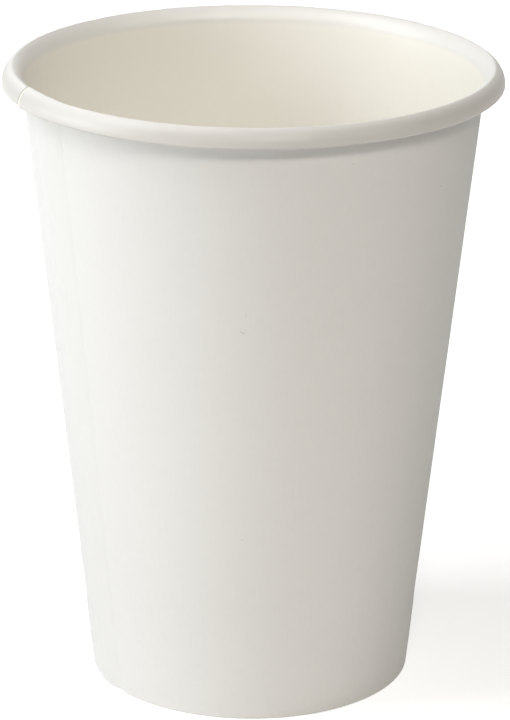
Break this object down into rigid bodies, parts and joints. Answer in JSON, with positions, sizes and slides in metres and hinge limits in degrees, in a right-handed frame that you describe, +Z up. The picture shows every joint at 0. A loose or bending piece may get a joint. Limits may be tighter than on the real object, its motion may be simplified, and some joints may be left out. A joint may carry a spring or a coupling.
{
  "type": "paper coffee cup",
  "caption": "Plain white single-wall paper cup for hot drinks: a tapered, lapped side wall with a rolled rim, hemmed round a recessed bottom disc.",
  "frame": {"origin": "centre of the ring that the cup stands on, at the level of that ring", "axes": "+Z up along the cup's axis, from the base to the open mouth; the side seam's inner raw edge is 199.5 degrees counter-clockwise from +X, so -Y faces the viewer of the picture"},
  "size_m": [0.09, 0.09, 0.115],
  "materials": {
    "white_board": "matt white cup board, film-coated inside",
    "coated_board": "white cup board with a satin film coat on its upper face"
  },
  "bodies": {
    "root": {"side_wall": "white_board", "bottom_disc": "coated_board"}
  },
  "joints": []
}
